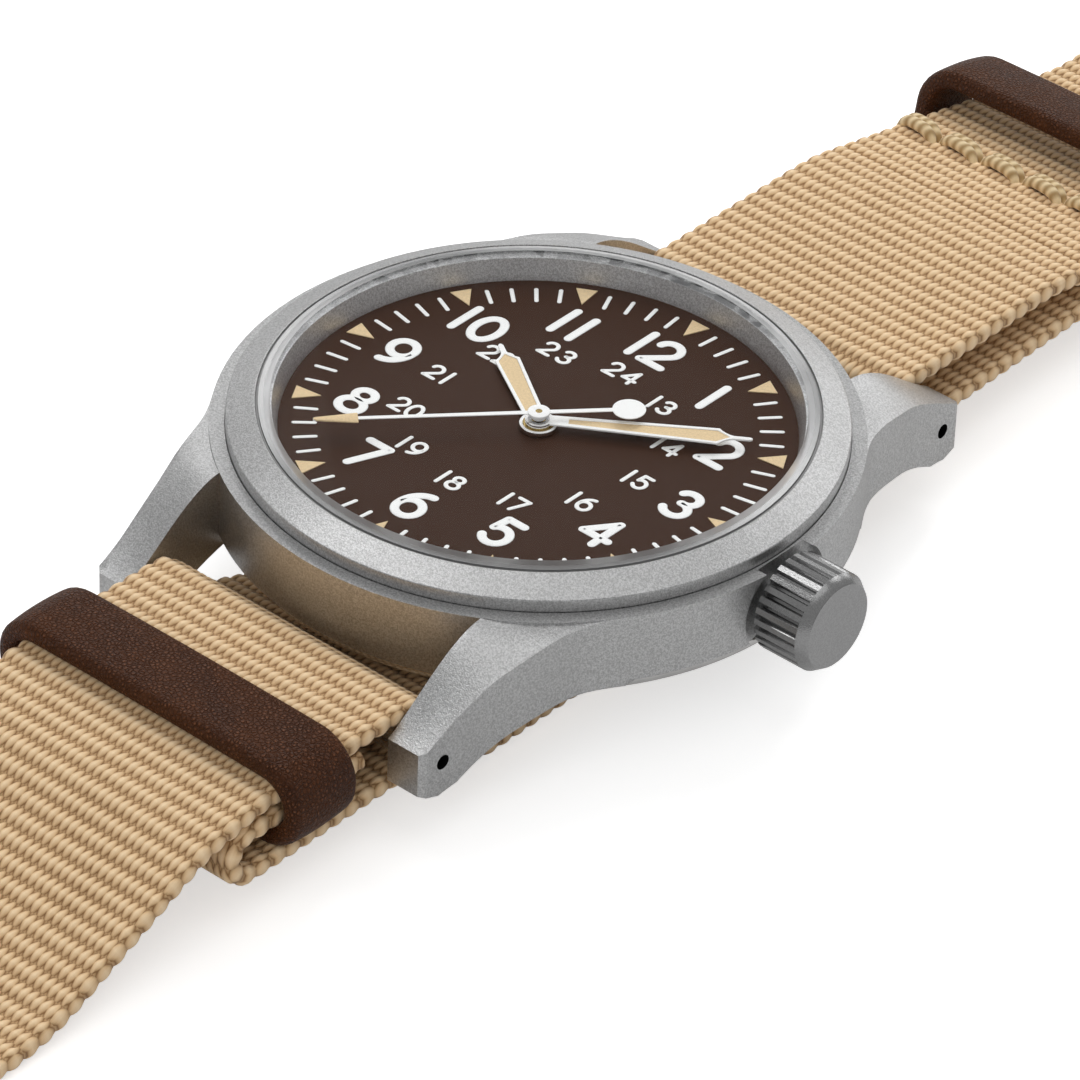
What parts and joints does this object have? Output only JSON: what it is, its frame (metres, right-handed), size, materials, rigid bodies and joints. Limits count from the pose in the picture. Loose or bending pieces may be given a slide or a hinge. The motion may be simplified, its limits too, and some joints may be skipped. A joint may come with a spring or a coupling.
{
  "type": "field watch",
  "caption": "Round steel field watch with a hand-wound gear train, fluted pull-out crown, spring bars and a woven pull-through strap with leather keepers and a buckle.",
  "frame": {"origin": "on the dial's axis, in the plane that the lower strap rests on", "axes": "+Z out of the dial, +Y towards 12 o'clock and the buckle, +X towards the crown"},
  "size_m": [0.0416, 0.2672, 0.0124],
  "materials": {
    "case_steel": "fine bead-blasted",
    "sapphire": "clear polished",
    "black_rubber": "matte",
    "dial_brown": "satin lacquer",
    "cream_lume": "matte",
    "hand_white": "white enamel",
    "plain_steel": "turned",
    "ring_plastic": "moulded",
    "nickel_plate": "nickel-plated, fine grain",
    "movement_steel": "polished",
    "ruby": "polished",
    "gilt_brass": "gilt",
    "beige_webbing": "ribbed woven nylon",
    "cream_thread": "twisted thread",
    "brown_leather": "smooth grained",
    "buckle_steel": "satin"
  },
  "bodies": {
    "case": {"mid_case": "case_steel", "bezel": "case_steel", "crystal": "sapphire", "crystal_gasket": "black_rubber", "rehaut_ring": "case_steel", "dial": "dial_brown", "hour_markers": "cream_lume", "case_back": "case_steel", "case_back_gasket": "black_rubber", "crown_tube": "plain_steel", "movement_ring": "ring_plastic", "main_plate": "nickel_plate", "barrel_bridge": "nickel_plate", "train_bridge": "nickel_plate", "balance_cock": "nickel_plate", "bridge_screws": "movement_steel", "jewels": "ruby", "hairspring": "movement_steel", "spring_bar_tubes": "plain_steel", "spring_bar_springs": "plain_steel", "main_strap": "beige_webbing", "lower_strap": "beige_webbing", "fixed_keeper": "brown_leather", "strap_stitches": "cream_thread", "buckle_bar": "buckle_steel"},
    "going_barrel": {"barrel": "nickel_plate", "barrel_cover": "nickel_plate", "mainspring": "movement_steel"},
    "winding_arbor": {"barrel_arbor": "movement_steel", "ratchet_wheel": "movement_steel"},
    "crown_wheel_body": {"crown_wheel": "movement_steel"},
    "click_body": {"click": "movement_steel"},
    "crown_slider": {"crown_seal": "black_rubber"},
    "crown_body": {"crown": "case_steel", "winding_stem": "plain_steel"},
    "winding_pinion_body": {"winding_pinion": "movement_steel"},
    "sliding_pinion_body": {"sliding_pinion": "movement_steel"},
    "centre": {"centre_wheel": "gilt_brass", "cannon_pinion": "movement_steel", "minute_hand": "hand_white", "minute_hand_lume": "cream_lume"},
    "hours": {"hour_wheel": "gilt_brass", "hour_hand": "hand_white", "hour_hand_lume": "cream_lume"},
    "seconds": {"fourth_wheel": "gilt_brass", "seconds_hand": "hand_white", "seconds_hand_lume": "cream_lume"},
    "third": {"third_wheel": "gilt_brass"},
    "escape": {"escape_wheel": "movement_steel"},
    "motion": {"minute_wheel": "gilt_brass"},
    "setting": {"setting_wheel": "movement_steel"},
    "balance": {"balance_wheel": "gilt_brass"},
    "fork": {"pallet_fork": "movement_steel"},
    "tip_12_crown_side": {"spring_bar_tip_12_crown_side": "plain_steel"},
    "tip_12_far_side": {"spring_bar_tip_12_far_side": "plain_steel"},
    "tip_6_crown_side": {"spring_bar_tip_6_crown_side": "plain_steel"},
    "tip_6_far_side": {"spring_bar_tip_6_far_side": "plain_steel"},
    "keeper": {"sliding_keeper": "brown_leather"},
    "buckle": {"buckle_frame": "buckle_steel"},
    "tongue": {"buckle_tongue": "buckle_steel"}
  },
  "joints": [
    {"name": "seconds_turn", "type": "hinge", "parent": "case", "child": "seconds", "pos_m": [0, 0, 0.0047], "axis": [0, 0, 1], "continuous": true},
    {"name": "minute_turn", "type": "hinge", "parent": "case", "child": "centre", "pos_m": [0, 0, 0.0065], "axis": [0, 0, 1], "continuous": true},
    {"name": "hour_turn", "type": "hinge", "parent": "case", "child": "hours", "pos_m": [0, 0, 0.0089], "axis": [0, 0, 1], "continuous": true},
    {"name": "third_turn", "type": "hinge", "parent": "case", "child": "third", "pos_m": [-0.00276, -0.00198, 0.0054], "axis": [0, 0, 1], "continuous": true},
    {"name": "escape_turn", "type": "hinge", "parent": "case", "child": "escape", "pos_m": [-0.00162, 0.00305, 0.0068], "axis": [0, 0, 1], "continuous": true},
    {"name": "barrel_turn", "type": "hinge", "parent": "case", "child": "going_barrel", "pos_m": [0.00537, 0.00384, 0.0058], "axis": [0, 0, 1], "continuous": true},
    {"name": "minute_wheel_turn", "type": "hinge", "parent": "case", "child": "motion", "pos_m": [0.0015, -0.0026, 0.0086], "axis": [0, 0, 1], "continuous": true},
    {"name": "setting_wheel_turn", "type": "hinge", "parent": "case", "child": "setting", "pos_m": [0.00471, -0.00096, 0.0086], "axis": [0, 0, 1], "continuous": true},
    {"name": "crown_pull", "type": "slide", "parent": "case", "child": "crown_slider", "axis": [1, 0, 0], "range_m": [0, 0.001]},
    {"name": "crown_turn", "type": "hinge", "parent": "crown_slider", "child": "crown_body", "pos_m": [0.019, 0, 0.00793], "axis": [1, 0, 0], "continuous": true},
    {"name": "sliding_pinion_shift", "type": "slide", "parent": "crown_body", "child": "sliding_pinion_body", "axis": [-1, 0, 0], "range_m": [0, 0.0016]},
    {"name": "winding_pinion_turn", "type": "hinge", "parent": "case", "child": "winding_pinion_body", "pos_m": [0.0098, 0, 0.00793], "axis": [1, 0, 0], "continuous": true},
    {"name": "crown_wheel_turn", "type": "hinge", "parent": "case", "child": "crown_wheel_body", "pos_m": [0.00825, 0, 0.0066], "axis": [0, 0, 1], "continuous": true},
    {"name": "ratchet_turn", "type": "hinge", "parent": "case", "child": "winding_arbor", "pos_m": [0.00537, 0.00384, 0.0066], "axis": [0, 0, 1], "continuous": true},
    {"name": "click_lift", "type": "hinge", "parent": "case", "child": "click_body", "pos_m": [0.00468, 0.00773, 0.0066], "axis": [0, 0, 1], "range_deg": [0, 12], "stiffness_Nm_per_rad": 0.00002, "springref_deg": -5.73},
    {"name": "balance_swing", "type": "hinge", "parent": "case", "child": "balance", "pos_m": [-0.00609, 0.00549, 0.0058], "axis": [0, 0, 1], "range_deg": [-30, 30]},
    {"name": "fork_swing", "type": "hinge", "parent": "case", "child": "fork", "pos_m": [-0.00365, 0.00415, 0.0069], "axis": [0, 0, 1], "range_deg": [-6.9, 6.9]},
    {"name": "tip_12_crown_side_press", "type": "slide", "parent": "case", "child": "tip_12_crown_side", "axis": [-1, 0, 0], "range_m": [0, 0.00115], "stiffness_N_per_m": 400, "springref_m": -0.0008},
    {"name": "tip_12_far_side_press", "type": "slide", "parent": "case", "child": "tip_12_far_side", "axis": [1, 0, 0], "range_m": [0, 0.00115], "stiffness_N_per_m": 400, "springref_m": -0.0008},
    {"name": "tip_6_crown_side_press", "type": "slide", "parent": "case", "child": "tip_6_crown_side", "axis": [-1, 0, 0], "range_m": [0, 0.00115], "stiffness_N_per_m": 400, "springref_m": -0.0008},
    {"name": "tip_6_far_side_press", "type": "slide", "parent": "case", "child": "tip_6_far_side", "axis": [1, 0, 0], "range_m": [0, 0.00115], "stiffness_N_per_m": 400, "springref_m": -0.0008},
    {"name": "keeper_slide", "type": "slide", "parent": "case", "child": "keeper", "axis": [0, 0.9804, -0.1972], "range_m": [-0.0012, 0.005]},
    {"name": "buckle_hinge", "type": "hinge", "parent": "case", "child": "buckle", "pos_m": [0, 0.084, 0.0022], "axis": [1, 0, 0], "range_deg": [-45, 75]},
    {"name": "tongue_hinge", "type": "hinge", "parent": "buckle", "child": "tongue", "pos_m": [0, 0.084, 0.0022], "axis": [1, 0, 0], "range_deg": [0, 60]}
  ],
  "couplings": [
    {"joint": "minute_turn", "follows": "seconds_turn", "ratio": 0.016667},
    {"joint": "hour_turn", "follows": "seconds_turn", "ratio": 0.0013889},
    {"joint": "third_turn", "follows": "seconds_turn", "ratio": -0.13333},
    {"joint": "escape_turn", "follows": "seconds_turn", "ratio": -10},
    {"joint": "barrel_turn", "follows": "seconds_turn", "ratio": -0.0027778},
    {"joint": "minute_wheel_turn", "follows": "seconds_turn", "ratio": -0.0055556},
    {"joint": "setting_wheel_turn", "follows": "seconds_turn", "ratio": 0.0092593},
    {"joint": "winding_pinion_turn", "follows": "crown_turn", "ratio": 1},
    {"joint": "crown_wheel_turn", "follows": "crown_turn", "ratio": 0.66667},
    {"joint": "ratchet_turn", "follows": "crown_turn", "ratio": -0.44444},
    {"joint": "sliding_pinion_shift", "follows": "crown_pull", "ratio": 1.6},
    {"joint": "fork_swing", "follows": "balance_swing", "ratio": -0.229}
  ]
}
